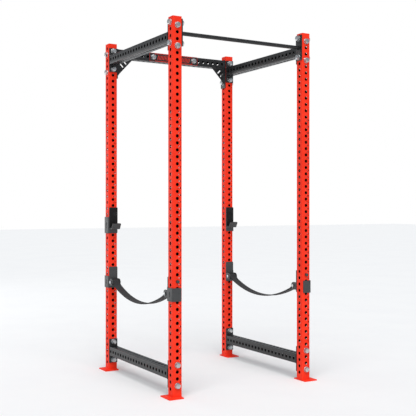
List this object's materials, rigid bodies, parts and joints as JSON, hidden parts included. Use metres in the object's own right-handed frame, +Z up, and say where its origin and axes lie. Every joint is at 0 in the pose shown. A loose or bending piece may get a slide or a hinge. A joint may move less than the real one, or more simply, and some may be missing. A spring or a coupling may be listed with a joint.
{
  "type": "power cage",
  "caption": "Tall square weightlifting cage of perforated box uprights with bolted crossmembers, a pull-up bar, J-cups and sagging webbing safety straps.",
  "frame": {"origin": "on the floor, midway between the four uprights", "axes": "+Z up; -Y is the side with the pull-up bar, +Y the side with the name plate; +X is to the right seen from the pull-up bar's side"},
  "size_m": [1.32, 1.305, 2.755],
  "materials": {
    "red_powder_coat": "bright red powder coat, half gloss",
    "black_powder_coat": "black powder coat, satin",
    "zinc_plated_steel": "bright zinc plate",
    "black_plastic": "matt, moulded",
    "webbing": "black woven webbing",
    "name_plate_paint": "black with a red border, satin"
  },
  "bodies": {
    "frame": {"front_left_upright": "red_powder_coat", "rear_left_upright": "red_powder_coat", "front_right_upright": "red_powder_coat", "rear_right_upright": "red_powder_coat", "left_bottom_crossmember": "black_powder_coat", "left_top_crossmember": "black_powder_coat", "right_bottom_crossmember": "black_powder_coat", "right_top_crossmember": "black_powder_coat", "rear_crossmember": "black_powder_coat", "pull_up_bar": "black_powder_coat", "name_plate": "name_plate_paint", "left_bottom_front_lower_bolt": "zinc_plated_steel", "left_bottom_front_upper_bolt": "zinc_plated_steel", "left_top_front_lower_bolt": "zinc_plated_steel", "left_top_front_upper_bolt": "zinc_plated_steel", "left_bottom_rear_lower_bolt": "zinc_plated_steel", "left_bottom_rear_upper_bolt": "zinc_plated_steel", "left_top_rear_lower_bolt": "zinc_plated_steel", "left_top_rear_upper_bolt": "zinc_plated_steel", "pull_up_bar_left_lower_bolt": "zinc_plated_steel", "rear_crossmember_left_lower_bolt": "zinc_plated_steel", "pull_up_bar_left_upper_bolt": "zinc_plated_steel", "rear_crossmember_left_upper_bolt": "zinc_plated_steel", "name_plate_left_bolt": "zinc_plated_steel", "right_bottom_front_lower_bolt": "zinc_plated_steel", "right_bottom_front_upper_bolt": "zinc_plated_steel", "right_top_front_lower_bolt": "zinc_plated_steel", "right_top_front_upper_bolt": "zinc_plated_steel", "right_bottom_rear_lower_bolt": "zinc_plated_steel", "right_bottom_rear_upper_bolt": "zinc_plated_steel", "right_top_rear_lower_bolt": "zinc_plated_steel", "right_top_rear_upper_bolt": "zinc_plated_steel", "pull_up_bar_right_lower_bolt": "zinc_plated_steel", "rear_crossmember_right_lower_bolt": "zinc_plated_steel", "pull_up_bar_right_upper_bolt": "zinc_plated_steel", "rear_crossmember_right_upper_bolt": "zinc_plated_steel", "name_plate_right_bolt": "zinc_plated_steel", "left_strap_span": "webbing", "right_strap_span": "webbing"},
    "left_j_cup_body": {"left_j_cup": "black_powder_coat", "left_j_cup_tray_liner": "black_plastic", "left_j_cup_face_liner": "black_plastic"},
    "right_j_cup_body": {"right_j_cup": "black_powder_coat", "right_j_cup_tray_liner": "black_plastic", "right_j_cup_face_liner": "black_plastic"},
    "left_front_bracket_body": {"left_front_strap_bracket": "black_powder_coat", "left_front_strap_pin": "zinc_plated_steel", "left_strap_front_loop": "webbing"},
    "left_rear_bracket_body": {"left_rear_strap_bracket": "black_powder_coat", "left_rear_strap_pin": "zinc_plated_steel", "left_strap_rear_loop": "webbing"},
    "right_front_bracket_body": {"right_front_strap_bracket": "black_powder_coat", "right_front_strap_pin": "zinc_plated_steel", "right_strap_front_loop": "webbing"},
    "right_rear_bracket_body": {"right_rear_strap_bracket": "black_powder_coat", "right_rear_strap_pin": "zinc_plated_steel", "right_strap_rear_loop": "webbing"}
  },
  "joints": [
    {"name": "left_j_cup_swing", "type": "hinge", "parent": "frame", "child": "left_j_cup_body", "pos_m": [-0.5775, 0.5775, 1.34], "axis": [0, 1, 0], "range_deg": [0, 90]},
    {"name": "right_j_cup_swing", "type": "hinge", "parent": "frame", "child": "right_j_cup_body", "pos_m": [0.5775, 0.5775, 1.34], "axis": [0, -1, 0], "range_deg": [0, 90]},
    {"name": "left_front_bracket_swing", "type": "hinge", "parent": "frame", "child": "left_front_bracket_body", "pos_m": [-0.5775, -0.5775, 0.84], "axis": [0, 1, 0], "range_deg": [0, 90]},
    {"name": "left_rear_bracket_swing", "type": "hinge", "parent": "frame", "child": "left_rear_bracket_body", "pos_m": [-0.5775, 0.5775, 0.84], "axis": [0, 1, 0], "range_deg": [0, 90]},
    {"name": "right_front_bracket_swing", "type": "hinge", "parent": "frame", "child": "right_front_bracket_body", "pos_m": [0.5775, -0.5775, 0.84], "axis": [0, -1, 0], "range_deg": [0, 90]},
    {"name": "right_rear_bracket_swing", "type": "hinge", "parent": "frame", "child": "right_rear_bracket_body", "pos_m": [0.5775, 0.5775, 0.84], "axis": [0, -1, 0], "range_deg": [0, 90]}
  ]
}
